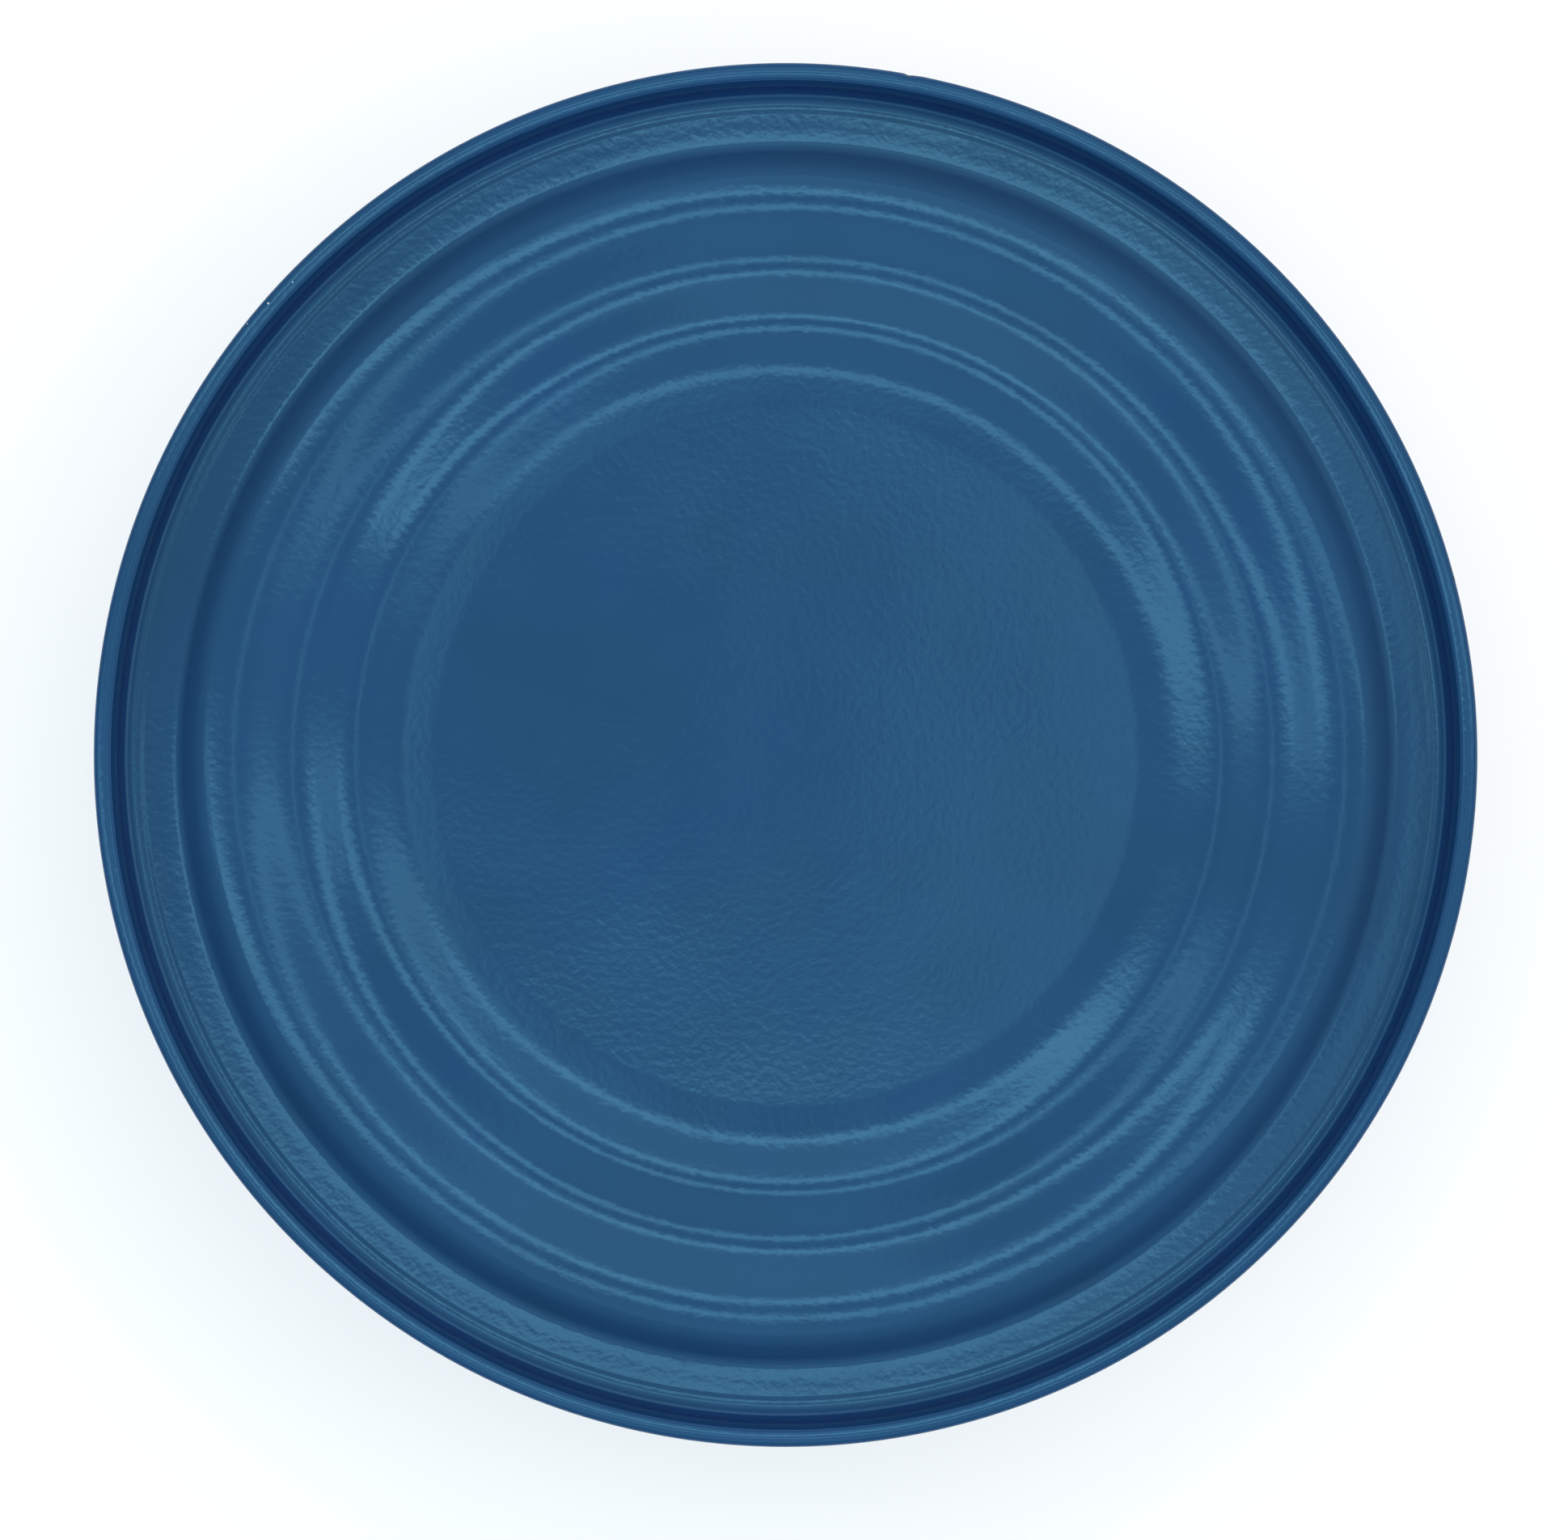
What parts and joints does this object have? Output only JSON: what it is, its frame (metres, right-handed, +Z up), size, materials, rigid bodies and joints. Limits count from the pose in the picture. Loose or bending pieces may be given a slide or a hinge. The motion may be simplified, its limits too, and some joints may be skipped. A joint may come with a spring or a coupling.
{
  "type": "seamed steel can",
  "caption": "Round steel can closed at both ends by double seams, with ring-beaded end panels, a beaded wall and a glossy blue enamel finish.",
  "frame": {"origin": "centre of the circle that the can stands on, in the plane of the bottom seam's crown", "axes": "+Z up along the can's axis, from the bottom end to the top end; +X through the side weld"},
  "size_m": [0.1032, 0.1032, 0.1191],
  "materials": {
    "blue_enamel": "sprayed gloss enamel with a fine orange peel",
    "lining_compound": "matte, cured"
  },
  "bodies": {
    "root": {"top_end": "blue_enamel", "can_body": "blue_enamel", "bottom_end": "blue_enamel", "top_seam_compound": "lining_compound", "bottom_seam_compound": "lining_compound"}
  },
  "joints": []
}
